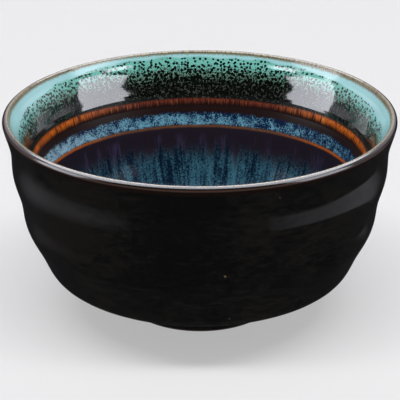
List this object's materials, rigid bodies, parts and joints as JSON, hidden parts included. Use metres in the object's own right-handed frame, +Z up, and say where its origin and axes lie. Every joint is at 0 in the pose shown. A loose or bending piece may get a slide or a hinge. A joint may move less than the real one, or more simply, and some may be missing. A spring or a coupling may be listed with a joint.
{
  "type": "matcha bowl",
  "caption": "Round stoneware tea bowl on a low foot ring, with throwing rings outside, stepped rings inside and layered glazes in black, turquoise, rust and blue.",
  "frame": {"origin": "centre of the foot ring's resting face, on the surface the bowl stands on", "axes": "+Z up along the bowl's axis; the bowl is round, so +X and +Y are any two level directions at right angles"},
  "size_m": [0.12, 0.12, 0.063],
  "materials": {
    "stoneware": "bare fired stoneware, fine-grained and matt",
    "foot_clay": "bare fired stoneware, turned, matt with faint turning lines",
    "black_glaze": "glossy near-black with a few pinholes",
    "lip_brown": "glossy, thin brown where the glaze breaks over the lip",
    "liner_brown": "glossy iron brown-black, breaking to rust orange on the steps",
    "recess_black": "glossy near-black, a little thinner at its edge",
    "turquoise": "glossy turquoise, speckled with black that thickens downwards",
    "band_blue": "glossy speckled blue over dark brown",
    "well_teal": "glossy dark violet-brown running into blue-teal streaks"
  },
  "bodies": {
    "root": {"stoneware_body": "stoneware", "foot_ring": "foot_clay", "outer_glaze": "black_glaze", "lip_glaze": "lip_brown", "liner_glaze": "liner_brown", "foot_recess_glaze": "recess_black", "rim_glaze": "turquoise", "band_glaze": "band_blue", "well_glaze": "well_teal"}
  },
  "joints": []
}
